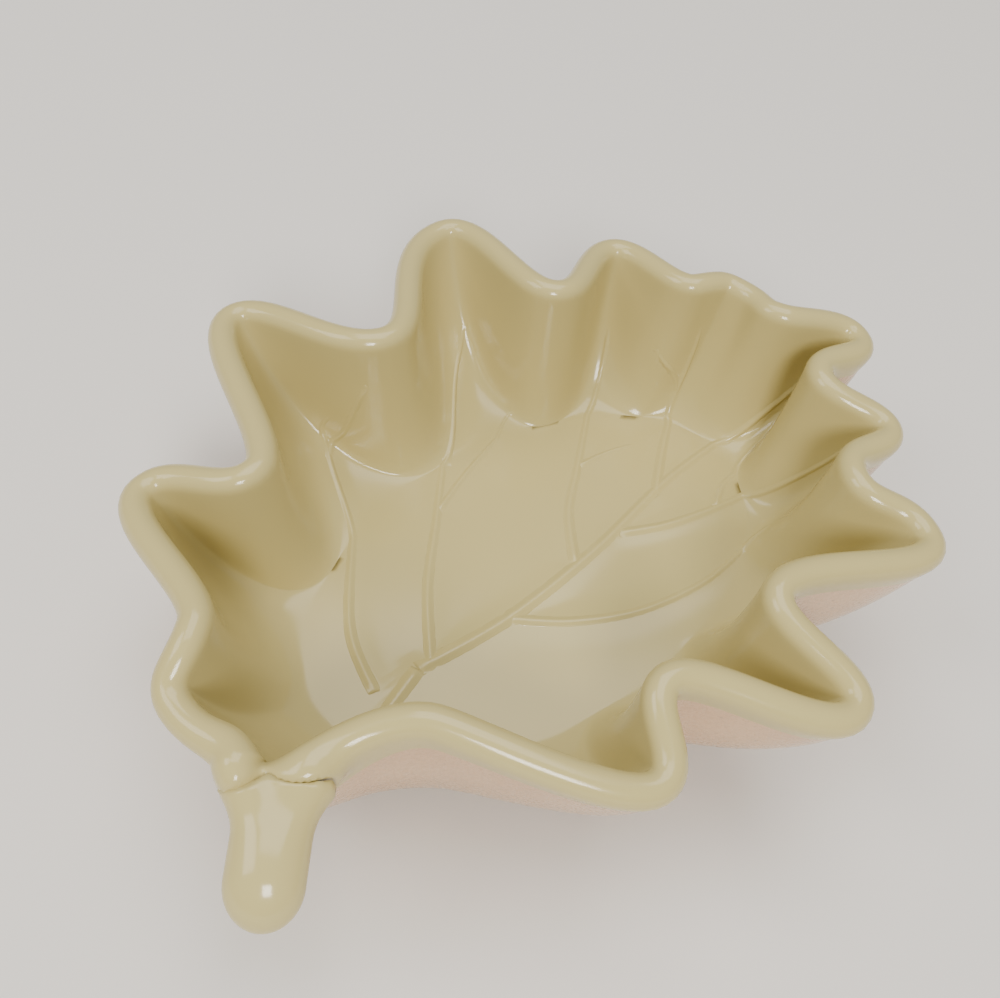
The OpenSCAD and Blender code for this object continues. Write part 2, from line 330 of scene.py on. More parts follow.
def stalk_section(sizes, s):
    """Half width, half thickness, height of the centre and depth of the hollow on top, at s
    metres out from the middle of the wall. The root flares, and the stalk droops to its end."""
    share = s / sizes.stalk_length
    flare = 2.4 * MM * np.clip(1 - share / 0.4, 0, None) ** 2
    drop = 5 * MM * np.clip(share, 0, None) ** 1.5
    hollow = 2 * MM * np.clip(1 - share / 0.8, 0, 1) ** 2
    half_thickness = sizes.stalk_thickness / 2
    return sizes.stalk_width / 2 + flare, half_thickness, STALK_TOP - half_thickness - drop, hollow


STALK_ROOT = np.array([14, -62, 0]) * MM
STALK_AHEAD = np.array([math.cos(math.radians(-45)), math.sin(math.radians(-45)), 0])
STALK_ACROSS = np.array([math.cos(math.radians(45)), math.sin(math.radians(45)), 0])
STALK_TOP = 35 * MM
# The stalk's full section runs from here out to this share of its length, with round ends
ROOT_OUT = 1.5 * MM
ROOT_ROUND = 2 * MM
TIP_FROM = 0.7


def stalk_distance(sizes, points):
    """Distance to the stalk's surface, to first order, negative inside: the stalk is an ellipse
    carried along its axis, with half an ellipsoid at each end and a hollow along its top."""
    local = points - STALK_ROOT
    s = local @ STALK_AHEAD
    x = local @ STALK_ACROSS
    half_width, half_thickness, middle, hollow = stalk_section(sizes, s)
    z = points[..., 2] - middle
    dent = hollow * np.clip(1 - (x / half_width) ** 2, 0, None) ** 1.5
    z = np.where(z > 0, z + dent, z)
    tip_from = TIP_FROM * sizes.stalk_length
    past_tip = np.clip(s - tip_from, 0, None) / (sizes.stalk_length - tip_from) ** 2
    past_root = np.clip(ROOT_OUT - s, 0, None) / ROOT_ROUND ** 2
    over = past_tip + past_root
    reach = np.sqrt((x / half_width) ** 2 + (z / half_thickness) ** 2
                    + np.clip(s - tip_from, 0, None) * past_tip + np.clip(ROOT_OUT - s, 0, None) * past_root)
    slope = np.sqrt((x / half_width ** 2) ** 2 + (z / half_thickness ** 2) ** 2 + over ** 2)
    return (reach - 1) * reach / (slope + 1e-9)


def fillet_lift(reach, other_at):
    """How far each point of one surface moves out so that two surfaces flow into each other:
    the move a meets the distance b to the other surface where the smaller of them equals
    (reach - |a - b|)^2 / (4 reach). Past the middle of the joint the point sinks out of sight."""
    lift = 0.0
    for _ in range(16):
        other = other_at(lift)
        overlap = np.clip(reach - np.abs(lift - other), 0, None)
        lift = 0.5 * lift + 0.5 * overlap ** 2 / (4 * reach)
    return np.clip(np.minimum(lift, other_at(lift)), 0, None)


def nearest(points, samples):
    """Distance from each point to the nearest sample, and that sample's number, in blocks."""
    flat = points.reshape(-1, 3)
    found = []
    for block in np.array_split(flat, max(1, len(flat) // 400)):
        square = (block ** 2).sum(1)[:, None] + (samples ** 2).sum(1)[None] - 2 * block @ samples.T
        index = square.argmin(1)
        found.append((np.sqrt(np.clip(square[np.arange(len(block)), index], 0, None)), index))
    distance = np.concatenate([d for d, _ in found]).reshape(points.shape[:-1])
    index = np.concatenate([i for _, i in found]).reshape(points.shape[:-1])
    return distance, index


def spaced(points, gap):
    """Places along a list of points, as shares of its steps, about gap apart, and each one's
    distance from the start."""
    steps = np.linalg.norm(np.diff(points, axis=0), axis=1)
    run = np.concatenate([[0], np.cumsum(steps)])
    wanted = np.linspace(0, run[-1], max(4, int(run[-1] / gap) + 1))
    return np.interp(wanted, run, np.arange(len(points))), wanted


def curve_through(points, at):
    """Smooth curve through a list of points, at places counted in its steps."""
    points = np.asarray(points, float)
    last = len(points) - 1
    i = np.clip(np.floor(at).astype(int), 0, max(last - 1, 0))
    s = (at - i)[:, None]
    a, b = points[np.clip(i - 1, 0, last)], points[i]
    c, d = points[np.clip(i + 1, 0, last)], points[np.clip(i + 2, 0, last)]
    return through(a, b, c, d, s)


def vein_line(sizes, flat, climb, gap=0.6 * MM):
    """Centre line of a vein on the glazed surface: a smooth curve over the floor's points, then
    one up the wall's points. Gives places, whether each is on the wall, and its (u, v)."""
    pieces = []
    edge = [tuple(floor_edge(sizes, np.array([climb[0][0]]))[0, :2] / MM)] if climb else []
    level = list(flat) + edge if flat else []
    top = floor_middle(sizes) + sizes.lip_radius
    if len(level) > 1:
        fine = np.linspace(0, len(level) - 1, 200)
        rough = curve_through(level, fine) * MM
        at, _ = spaced(np.c_[rough, np.zeros(len(rough))], gap)
        line = curve_through(level, at * (len(level) - 1) / 199) * MM
        pieces.append((np.c_[line, np.full(len(line), top)], np.zeros(len(line), bool), np.zeros((len(line), 2))))
    if len(climb) > 1:
        fine = np.linspace(0, len(climb) - 1, 200)
        spot = curve_through(climb, fine)
        at, _ = spaced(inside(sizes, spot[:, 0], spot[:, 1]), gap)
        spot = curve_through(climb, at * (len(climb) - 1) / 199)
        if pieces:
            spot = spot[1:]
        pieces.append((inside(sizes, spot[:, 0], spot[:, 1]), np.ones(len(spot), bool), spot))
    return tuple(np.concatenate(group) for group in zip(*pieces))


def taper(count):
    """Size of a vein along its length: full at its start, half at its end."""
    return np.linspace(1, 0.5, count)


def swell_samples(sizes):
    """Places along every vein and the strength of the swell there, which dies out at its end."""
    places, strength = [], []
    for branches in VEINS.values():
        for flat, climb, size in branches:
            line, _, _ = vein_line(sizes, flat, climb, 0.8 * MM)
            left = np.linspace(1, 0, len(line))
            places.append(line)
            strength.append(size * taper(len(line)) * smooth(left / 0.15))
    return np.concatenate(places), np.concatenate(strength)


def swell_at(sizes, points, samples):
    """Height of the soft swell under the veins: a bell over the distance to the nearest vein."""
    places, strength = samples
    distance, index = nearest(points, places)
    return sizes.swell_height * strength[index] * np.exp(-(distance / sizes.swell_width) ** 2)


def skin_faces(rows, count, first):
    """Faces of a stack of rings closed by a point at each end: the start point is number first,
    the rings follow it, and the end point comes last."""
    k = np.arange(count)
    following = (k + 1) % count
    start = first + 1 + np.arange(rows - 1)[:, None] * count
    quads = np.stack([start + k, start + following, start + count + following, start + count + k], -1)
    near = np.stack([np.full(count, first), first + 1 + following, first + 1 + k], -1)
    last = first + 1 + (rows - 1) * count
    far = np.stack([np.full(count, last + count), last + k, last + following], -1)
    return quads.reshape(-1, 4), np.concatenate([near, far])


def ring_faces(rows, count):
    """Faces of a grid that closes on itself both ways."""
    k = np.arange(count)
    following = (k + 1) % count
    row = np.arange(rows)[:, None] * count
    below = ((np.arange(rows) + 1) % rows)[:, None] * count
    return np.stack([row + k, row + following, below + following, below + k], -1).reshape(-1, 4)


def signed_volume(points, quads, triangles):
    corners = np.concatenate([quads[:, [0, 1, 2]], quads[:, [0, 2, 3]], triangles])
    a, b, c = (points[corners[:, i]] for i in range(3))
    return (a * np.cross(b, c)).sum() / 6


def add_piece(name, skins, material, node):
    """Makes one object of closed skins, each (points, quads, triangles, marks), with its faces
    outwards, puts it on the dish in place of a node and gives it its finish."""
    points, faces, marks, first = [], [], {"thin_and_highlight_share": [], "fade": []}, 0
    for places, quads, triangles, values in skins:
        if signed_volume(places, quads, triangles) < 0:
            quads, triangles = quads[:, ::-1], triangles[:, ::-1]
        points.append(places)
        faces += (quads + first).tolist() + (triangles + first).tolist()
        for label, list_of in marks.items():
            list_of.append(np.broadcast_to(values.get(label, 0.0), len(places)))
        first += len(places)
    mesh = bpy.data.meshes.new(name)
    mesh.from_pydata(np.concatenate(points).tolist(), [], faces)
    for label, list_of in marks.items():
        layer = mesh.attributes.new(label, "FLOAT", "POINT")
        layer.data.foreach_set("value", np.concatenate(list_of).astype(np.float32))
    mesh.polygons.foreach_set("use_smooth", np.ones(len(mesh.polygons), bool))
    mesh.materials.append(material)
    mesh.update()
    if mesh.validate():
        raise RuntimeError(f"{name} had faces that had to be mended")
    piece = bpy.data.objects.new(name, mesh)
    bpy.context.scene.collection.objects.link(piece)
    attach(piece, BODY)
    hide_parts(node)
    return piece


def skin(rings, marks=None, start=None, end=None):
    """Closed skin over rings, with marks given for each point of the rings."""
    rows, count = rings.shape[:2]
    start = rings[0].mean(0) if start is None else start
    end = rings[-1].mean(0) if end is None else end
    points = np.concatenate([start[None], rings.reshape(-1, 3), end[None]])
    quads, triangles = skin_faces(rows, count, 0)
    values = {}
    for label, grid in (marks or {}).items():
        flat = np.broadcast_to(grid, rings.shape[:2]).reshape(-1)
        values[label] = np.concatenate([flat[:1], flat, flat[-1:]])
    return points, quads, triangles, values


def glaze_stations():
    """Places along the rim for the rings of the body, evenly spaced in rows of the table."""
    return np.arange(KNOTS * 20) / 20


def glaze_skin(sizes):
    """Green glaze: the inside from the middle of the floor to the lip, round the lip, and a
    little way down the outside, where it thins to nothing, and back along the clay."""
    u = glaze_stations()
    lip, clay = sizes.lip_radius, sizes.lip_radius - sizes.glaze_thickness
    hidden = clay - 0.05 * MM
    gap = (u - SADDLE_AT + KNOTS / 2) % KNOTS - KNOTS / 2
    end = sizes.glaze_end - 0.22 * np.exp(-(gap / 0.9) ** 2)

    floor_shares = np.linspace(0.04, 1, 27)[:-1]
    wall_shares = np.linspace(0, 1, 52)
    angles = np.arange(12, 180, 12)
    down = np.linspace(0, 1, 10)
    outside = 1 + (end[None] - 1) * down[:, None]
    groups = [floor_rows(sizes, u, floor_shares, 1), wall_rows(sizes, u, wall_shares, 1),
              lip_rows(sizes, u, angles), wall_rows(sizes, u, outside, -1)]
    middle = np.concatenate([g[0] for g in groups])
    normal = np.concatenate([g[1] for g in groups])
    inner = len(floor_shares) + len(wall_shares)
    half = np.concatenate([np.full(inner + len(angles), lip), lip - (lip - hidden) * smooth(down)])
    places = middle + normal * half[:, None, None]

    samples = swell_samples(sizes)
    swell = np.zeros(places.shape[:2])
    swell[:inner] = swell_at(sizes, places[:inner], samples)
    places += normal * swell[..., None]
    lift = fillet_lift(sizes.stalk_fillet, lambda move: stalk_distance(
        sizes, places + normal * np.broadcast_to(move, places.shape[:2])[..., None]))
    lift[-2:] = 0
    places += normal * lift[..., None]

    notch = notch_share(u)[None]
    # Paler mark: the glaze thins over the lip, the notch folds and the veins, and it is also painted highlight,
    # strongest along the top of the lip
    thin_and_highlight_share = np.concatenate([
        np.zeros((len(floor_shares), len(u))),
        0.45 * notch * smooth((wall_shares[:, None] - 0.3) / 0.7) + 0.35 * smooth((wall_shares[:, None] - 0.86) / 0.14),
        0.35 + 0.25 * np.sin(np.radians(angles))[:, None] + 0.3 * notch,
        np.broadcast_to(0.35 + 0.3 * notch, (len(down), len(u)))])
    thin_and_highlight_share = np.clip(thin_and_highlight_share + 0.5 * swell / sizes.swell_height, 0, 1)
    fade = np.concatenate([np.zeros(inner + len(angles)), smooth((down - 0.35) / 0.6)])[:, None]

    back = [wall_rows(sizes, u, outside[[6, 3, 0]], -1), lip_rows(sizes, u, [150, 110, 70, 30]),
            wall_rows(sizes, u, np.linspace(1, 0, 13), 1), floor_rows(sizes, u, [0.8, 0.5, 0.2, 0.04], 1)]
    under = np.concatenate([g[0] + g[1] * hidden for g in back])
    rings = np.concatenate([places, under])
    level = floor_middle(sizes)
    marks = {"thin_and_highlight_share": np.concatenate([thin_and_highlight_share, np.zeros(under.shape[:2])]),
             "fade": np.concatenate([np.broadcast_to(fade, thin_and_highlight_share.shape), np.ones(under.shape[:2])])}
    return skin(rings, marks, np.array([0, 0, level + lip]), np.array([0, 0, level + hidden]))


def clay_skin(sizes):
    """Clay body: its inside under the glaze, its own round lip, its outside from the lip to the
    floor's edge, and the flat underside."""
    u = glaze_stations()
    clay = sizes.lip_radius - sizes.glaze_thickness
    groups = [floor_rows(sizes, u, [0.1, 0.5, 0.9], 1), wall_rows(sizes, u, np.linspace(0, 1, 12), 1),
              lip_rows(sizes, u, [30, 60, 90, 120, 150]), wall_rows(sizes, u, np.linspace(1, 0, 56), -1),
              floor_rows(sizes, u, [0.97, 0.9, 0.75, 0.5, 0.25, 0.06], -1)]
    rings = np.concatenate([place + normal * clay for place, normal in groups])
    level = floor_middle(sizes)
    return skin(rings, {}, np.array([0, 0, level + clay]), np.array([0, 0, level - clay]))


def stalk_skin(sizes):
    """Stalk: an ellipse with a hollow along its top, carried out from the wall, with a rounded
    end, and lifted near its root so that it flows into the lip and the wall."""
    turns = np.radians(np.arange(0, 360, 5))
    length = sizes.stalk_length
    root_turn = np.radians(np.linspace(84, 0, 9)[:-1])
    tip_turn = np.radians(np.linspace(0, 86, 16)[1:])
    straight = np.linspace(ROOT_OUT, TIP_FROM * length, 44)
    s = np.concatenate([ROOT_OUT - ROOT_ROUND * np.sin(root_turn), straight,
                        length * (TIP_FROM + (1 - TIP_FROM) * np.sin(tip_turn))])
    scale = np.concatenate([np.cos(root_turn), np.ones(len(straight)), np.cos(tip_turn)])[:, None]
    half_width, half_thickness, middle, hollow = stalk_section(sizes, s)
    dent = hollow[:, None] * np.clip(np.sin(turns), 0, None) ** 3
    height = middle[:, None] + scale * half_thickness * np.sin(turns) - dent * scale
    width = scale * half_width[:, None] * np.cos(turns)
    rings = STALK_ROOT + s[:, None, None] * STALK_AHEAD + width[..., None] * STALK_ACROSS
    rings[..., 2] = height

    step = 1e-5
    normal = unit(np.stack([stalk_distance(sizes, rings + step * axis) - stalk_distance(sizes, rings - step * axis)
                            for axis in np.eye(3)], -1))
    u = np.linspace(SADDLE_AT - 2.5, SADDLE_AT + 2.5, 260)
    samples = wall(sizes, u[:, None], np.linspace(0.35, 1, 64)[None]).reshape(-1, 3)
    near = s < 13 * MM

    def body_distance(move):
        moved = rings[near] + normal[near] * np.broadcast_to(move, rings[near].shape[:2])[..., None]
        return nearest(moved, samples)[0] - sizes.lip_radius

    rings[near] += normal[near] * fillet_lift(sizes.stalk_fillet, body_distance)[..., None]
    # Painted highlight on the stalk: paler on both sides and more so towards its end, partly also glaze thinning over
    # its edges
    thin_and_highlight_share = 0.25 + 0.35 * np.abs(np.cos(turns))[None] + 0.15 * smooth(s / length)[:, None]
    return skin(rings, {"thin_and_highlight_share": thin_and_highlight_share})


def ridge_skin(sizes, flat, climb, size, samples):
    """Ridge of one vein: a bell across its width, laid on the glazed surface and its swell. On
    the wall each place across it is found from the surface's own two directions, so the ridge
    follows every curve. Its edges lie just under the glaze."""
    line, climbs, spot = vein_line(sizes, flat, climb)
    count = len(line)
    ahead = unit(np.gradient(line, axis=0))
    normal = np.tile([0.0, 0.0, 1.0], (count, 1))
    normal[climbs] = wall_frame(sizes, spot[climbs, 0], spot[climbs, 1])[0]
    side = unit(np.cross(normal, ahead))
    shrink = size * taper(count)
    across = np.linspace(-1, 1, 11)
    offset = sizes.vein_half_width * shrink[:, None] * across[None]
    places = line[:, None] + side[:, None] * offset[..., None]
    normals = np.repeat(normal[:, None], len(across), 1)

    u, v = spot[climbs, 0], spot[climbs, 1]
    step = 1e-3
    along = (inside(sizes, u + step, v) - inside(sizes, u - step, v)) / (2 * step)
    rise = (inside(sizes, u, v + step) - inside(sizes, u, v - step)) / (2 * step)
    uu, uv, vv = (along * along).sum(1), (along * rise).sum(1), (rise * rise).sum(1)
    us, vs = (along * side[climbs]).sum(1), (rise * side[climbs]).sum(1)
    det = uu * vv - uv * uv
    turn_u, turn_v = (vv * us - uv * vs) / det, (uu * vs - uv * us) / det
    wide_u = u[:, None] + turn_u[:, None] * offset[climbs]
    wide_v = v[:, None] + turn_v[:, None] * offset[climbs]
    places[climbs] = inside(sizes, wide_u, wide_v)
    normals[climbs] = wall_frame(sizes, wide_u, wide_v)[0]

    run = np.concatenate([[0], np.cumsum(np.linalg.norm(np.diff(line, axis=0), axis=1))])
    fade = smooth((run[-1] - run) / (4 * MM)) * smooth(0.3 + run / (2 * MM))
    bell = 0.5 * (1 + np.cos(np.pi * across))
    lift = sizes.vein_height * (shrink * fade)[:, None] * bell - 0.02 * MM
    lift = lift + swell_at(sizes, places, samples)
    top = places + normals * lift[..., None]
    under = places[:, [-1, 0]] - normals[:, [-1, 0]] * 0.25 * MM
    # Paler top of each ridge: glaze thinning over the vein, and painted highlight
    thin_and_highlight_share = np.concatenate([np.broadcast_to(0.25 + 0.6 * bell, lift.shape), np.zeros((count, 2))], 1)
    return skin(np.concatenate([top, under], 1), {"thin_and_highlight_share": thin_and_highlight_share})


def foot_skin(sizes):
    """Foot ring: a section with rounded corners, |x / w|^4 + |z / h|^4 = 1 below the dish's
    underside, turned round the dish's axis."""
    turn = np.radians(np.linspace(0, 180, 41))
    side, depth = np.cos(turn), np.sin(turn)
    x = sizes.foot_half_width * np.sign(side) * np.abs(side) ** 0.5
    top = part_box("foot_ring")[1].z
    z = top * (1 - np.abs(depth) ** 0.5)
    x = np.concatenate([x, np.linspace(-0.8, 0.8, 5) * sizes.foot_half_width])
    z = np.concatenate([z, np.full(5, top + 0.2 * MM)])
    round_turn = np.radians(np.arange(0, 360, 2))
    radius = sizes.foot_radius + x
    rings = np.stack([radius[:, None] * np.cos(round_turn), radius[:, None] * np.sin(round_turn),
                      np.broadcast_to(z[:, None], (len(z), len(round_turn)))], -1)
    quads = ring_faces(len(z), len(round_turn))
    return rings.reshape(-1, 3), quads, np.zeros((0, 3), int), {}


def node_group(name, inputs, outputs):
    """Empty shader group with named sockets, each input (name, kind, value)."""
    group = bpy.data.node_groups.new(name, "ShaderNodeTree")
    for label, kind, value in inputs:
        socket = group.interface.new_socket(name=label, in_out="INPUT", socket_type=kind)
        if value is not None:
            socket.default_value = value
    for label, kind in outputs:
        group.interface.new_socket(name=label, in_out="OUTPUT", socket_type=kind)
    return group, group.nodes.new("NodeGroupInput"), group.nodes.new("NodeGroupOutput")


def noise(tree, vector, scale, detail):
    node = tree.nodes.new("ShaderNodeTexNoise")
    node.inputs["Scale"].default_value = scale
    node.inputs["Detail"].default_value = detail
    tree.links.new(vector, node.inputs["Vector"])
    return node.outputs[0]


def ranged(tree, value, low, high, to_low, to_high):
    """Value carried from one range to another and held inside it."""
    node = tree.nodes.new("ShaderNodeMapRange")
    for label, number in zip(("From Min", "From Max", "To Min", "To Max"), (low, high, to_low, to_high)):
        node.inputs[label].default_value = number
    tree.links.new(value, node.inputs["Value"])
    return node.outputs[0]


def sums(tree, operation, a, b):
    """One sum of two values, of which the second may be a number."""
    node = tree.nodes.new("ShaderNodeMath")
    node.operation = operation
    node.use_clamp = True
    tree.links.new(a, node.inputs[0])
    if isinstance(b, (int, float)):
        node.inputs[1].default_value = b
    else:
        tree.links.new(b, node.inputs[1])
    return node.outputs[0]


def blended(tree, share, first, second):
    """Colour between two others, each a socket or a fixed colour."""
    node = tree.nodes.new("ShaderNodeMix")
    node.data_type = "RGBA"
    tree.links.new(share, node.inputs[0])
    for socket, colour in ((node.inputs[6], first), (node.inputs[7], second)):
        if isinstance(colour, bpy.types.NodeSocket):
            tree.links.new(colour, socket)
        else:
            socket.default_value = (*colour, 1)
    return node.outputs[2]


def specks(tree, vector, scale, size, rarity):
    """Mask of small round specks that come here and there."""
    cells = tree.nodes.new("ShaderNodeTexVoronoi")
    cells.inputs["Scale"].default_value = scale
    tree.links.new(vector, cells.inputs["Vector"])
    dot = ranged(tree, cells.outputs[0], size * 0.6, size, 1, 0)
    place = ranged(tree, noise(tree, vector, scale * 0.35, 1), rarity, rarity + 0.04, 0, 1)
    return sums(tree, "MULTIPLY", dot, place)


def glaze_group():
    """Glaze: cloudy where it gathers, paler over crests, where it is thin and where a highlight is painted, with rare
    dark specks, a soft ripple and a slight change of gloss."""
    group, enter, leave = node_group(
        "glaze_layer",
        [("Vector", "NodeSocketVector", None), ("Crest", "NodeSocketFloat", 0.0),
         ("Body", "NodeSocketColor", None), ("Thin", "NodeSocketColor", None),
         ("Pooled", "NodeSocketColor", None)],
        [("Color", "NodeSocketColor"), ("Roughness", "NodeSocketFloat"), ("Height", "NodeSocketFloat")])
    vector = enter.outputs["Vector"]
    clouds = noise(group, vector, 30, 3)
    gathered = ranged(group, clouds, 0.35, 0.75, 0, 0.4)
    colour = blended(group, gathered, enter.outputs["Body"], enter.outputs["Pooled"])
    mottle = ranged(group, noise(group, vector, 320, 4), 0.3, 0.7, 0.55, 1)
    # Paler glaze over crests: partly glaze thinning over edges, partly painted highlight
    thin_and_highlight_mix = sums(group, "MULTIPLY", enter.outputs["Crest"], mottle)
    colour = blended(group, thin_and_highlight_mix, colour, enter.outputs["Thin"])
    mask = sums(group, "MULTIPLY", specks(group, vector, 150, 0.05, 0.62), 0.65)
    colour = blended(group, mask, colour, (0.10, 0.07, 0.03))
    group.links.new(colour, leave.inputs["Color"])
    group.links.new(ranged(group, clouds, 0.3, 0.7, 0.09, 0.15), leave.inputs["Roughness"])
    group.links.new(noise(group, vector, 210, 2), leave.inputs["Height"])
    return group


def clay_group():
    """Fired clay: soft patches, a fine grain and iron specks."""
    group, enter, leave = node_group(
        "clay_layer",
        [("Vector", "NodeSocketVector", None), ("Body", "NodeSocketColor", None),
         ("Dark", "NodeSocketColor", None), ("Gloss", "NodeSocketFloat", 0.3)],
        [("Color", "NodeSocketColor"), ("Roughness", "NodeSocketFloat"), ("Height", "NodeSocketFloat")])
    vector = enter.outputs["Vector"]
    patches = ranged(group, noise(group, vector, 55, 4), 0.35, 0.7, 0, 0.7)
    colour = blended(group, patches, enter.outputs["Body"], enter.outputs["Dark"])
    grain = noise(group, vector, 1500, 3)
    mask = sums(group, "MULTIPLY", specks(group, vector, 500, 0.14, 0.5), 0.5)
    colour = blended(group, mask, colour, (0.16, 0.08, 0.03))
    group.links.new(colour, leave.inputs["Color"])
    rough = sums(group, "ADD", enter.outputs["Gloss"], ranged(group, grain, 0.3, 0.7, 0, 0.12))
    group.links.new(rough, leave.inputs["Roughness"])
    group.links.new(grain, leave.inputs["Height"])
    return group


def new_material(name):
    """Material with its tree, its Principled shader and the piece's own coordinates."""
    material = bpy.data.materials.new(name)
    material.use_nodes = True
    tree = material.node_tree
    shader = next(node for node in tree.nodes if node.type == "BSDF_PRINCIPLED")
    coordinates = tree.nodes.new("ShaderNodeTexCoord")
    return material, tree, shader, coordinates.outputs["Object"]


def surface_mark(tree, name):
    node = tree.nodes.new("ShaderNodeAttribute")
    node.attribute_name = name
    return node.outputs["Fac"]


def bumped(tree, shader, height, strength, distance):
    node = tree.nodes.new("ShaderNodeBump")
    node.inputs["Strength"].default_value = strength
    node.inputs["Distance"].default_value = distance
    tree.links.new(height, node.inputs["Height"])
    tree.links.new(node.outputs["Normal"], shader.inputs["Normal"])


def placed_group(tree, group, **values):
    """Group placed in a material with its own values, each a socket, a colour or a number."""
    node = tree.nodes.new("ShaderNodeGroup")
    node.node_tree = group
    for label, value in values.items():
        if isinstance(value, bpy.types.NodeSocket):
            tree.links.new(value, node.inputs[label])
        elif isinstance(value, (int, float)):
            node.inputs[label].default_value = value
        else:
            node.inputs[label].default_value = (*value, 1)
    return node


def green_glaze(colours):
    """Glossy sage-green glaze, fading to the clay's colour where it runs out."""
    if "green_glaze" in bpy.data.materials:
        return bpy.data.materials["green_glaze"]
    material, tree, shader, vector = new_material("green_glaze")
    layer = placed_group(tree, glaze_group(), Vector=vector, Crest=surface_mark(tree, "thin_and_highlight_share"),
                         Body=colours.glaze, Thin=colours.glaze_thin_and_highlight, Pooled=colours.glaze_pooled)
    colour = blended(tree, surface_mark(tree, "fade"), layer.outputs["Color"], tuple(colours.clay))
    tree.links.new(colour, shader.inputs["Base Color"])
    tree.links.new(layer.outputs["Roughness"], shader.inputs["Roughness"])
    bumped(tree, shader, layer.outputs["Height"], 0.3, 0.3 * MM)
    shader.inputs["Coat Weight"].default_value = 0.8
    shader.inputs["Coat Roughness"].default_value = 0.03
    return material


def clay_material(colours, name, gloss, coat):
    """Buff clay, under clear gloss or bare."""
    material, tree, shader, vector = new_material(name)
    group = bpy.data.node_groups.get("clay_layer") or clay_group()
    layer = placed_group(tree, group, Vector=vector, Body=colours.clay, Dark=colours.clay_dark, Gloss=gloss)
    tree.links.new(layer.outputs["Color"], shader.inputs["Base Color"])
    tree.links.new(layer.outputs["Roughness"], shader.inputs["Roughness"])
    bumped(tree, shader, layer.outputs["Height"], 0.2, 0.05 * MM)
    shader.inputs["Coat Weight"].default_value = coat
    shader.inputs["Coat Roughness"].default_value = 0.08
    return material


# Viewing angle of the photograph, in the dish's own frame
CAMERA_PLACE = (0.0669, -0.0862, 0.1643)
CAMERA_HEADING = 132.3
CAMERA_PITCH = 52
CAMERA_ROLL = 8
CAMERA_VIEW = 50


def camera_matrix():
    """Camera's place and axes: it looks along its heading, down by its pitch, turned by its roll."""
    heading, pitch, roll = (math.radians(a) for a in (CAMERA_HEADING, CAMERA_PITCH, CAMERA_ROLL))
    ahead = np.array([math.cos(heading) * math.cos(pitch), math.sin(heading) * math.cos(pitch), -math.sin(pitch)])
    right = np.array([math.sin(heading), -math.cos(heading), 0])
    up = np.cross(right, ahead)
    side = right * math.cos(roll) + up * math.sin(roll)
    top = up * math.cos(roll) - right * math.sin(roll)
    matrix = np.eye(4)
    matrix[:3] = np.stack([side, top, -ahead, CAMERA_PLACE], 1)
    return Matrix(matrix.tolist())


def add_light(name, bearing, elevation, distance, size, power, colour):
    """Soft rectangular light that faces the bowl from a bearing and an elevation in degrees."""
    light = bpy.data.lights.new(name, "AREA")
    light.shape = "RECTANGLE"
    light.size, light.size_y = size
    light.energy = power
    light.color = colour
    lamp = bpy.data.objects.new(name, light)
    a, e = math.radians(bearing), math.radians(elevation)
    away = Vector((math.cos(a) * math.cos(e), math.sin(a) * math.cos(e), math.sin(e)))
    lamp.matrix_world = away.to_track_quat("Z", "Y").to_matrix().to_4x4()
    lamp.location = away * distance + Vector((0, 0, 20 * MM))
    bpy.context.scene.collection.objects.link(lamp)


class DISH_OT_stage(bpy.types.Operator):
    """Clears the starting objects and makes the floor, the lights and the camera"""
    bl_idname = "dish.stage"
    bl_label = "Stage"

    def execute(self, context):
        for thing in list(bpy.data.objects):
            if thing.type in {"MESH", "LIGHT", "CAMERA"} and "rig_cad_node" not in thing:
                bpy.data.objects.remove(thing)
        half = 1.5
        mesh = bpy.data.meshes.new("floor")
        mesh.from_pydata([(-half, -half, 0), (half, -half, 0), (half, half, 0), (-half, half, 0)], [], [(0, 1, 2, 3)])
        floor = bpy.data.objects.new("floor", mesh)
        context.scene.collection.objects.link(floor)
        material, tree, shader, _ = new_material("pale_floor")
        shader.inputs["Base Color"].default_value = (*context.scene.dish_colours.floor, 1)
        shader.inputs["Roughness"].default_value = 0.7
        mesh.materials.append(material)

        world = bpy.data.worlds.new("studio")
        world.use_nodes = True
        world.node_tree.nodes["Background"].inputs["Color"].default_value = (1, 0.985, 0.96, 1)
        world.node_tree.nodes["Background"].inputs["Strength"].default_value = 0.45
        context.scene.world = world
        behind = CAMERA_HEADING + 180
        add_light("window", behind + 8, 40, 1.1, (0.30, 0.34), 9, (1, 0.97, 0.92))
        add_light("overhead", behind + 180, 80, 1.3, (1.0, 1.0), 12, (1, 0.98, 0.95))
        add_light("side", behind - 75, 50, 1.2, (0.5, 0.5), 4, (1, 0.98, 0.95))

        camera = bpy.data.cameras.new("camera")
        camera.sensor_fit = "HORIZONTAL"
        camera.angle = math.radians(CAMERA_VIEW)
        camera.clip_start = 0.005
        view = bpy.data.objects.new("camera", camera)
        view.matrix_world = camera_matrix()
        context.scene.collection.objects.link(view)
        context.scene.camera = view
        return {"FINISHED"}


class DISH_OT_clay(bpy.types.Operator):
    """Makes the clay body of the leaf"""
    bl_idname = "dish.clay"
    bl_label = "Clay body"

    def execute(self, context):
        material = clay_material(context.scene.dish_colours, "clear_clay", 0.22, 0.6)
        add_piece("clay_body", [clay_skin(context.scene.dish_sizes)], material, "leaf_body")
        return {"FINISHED"}


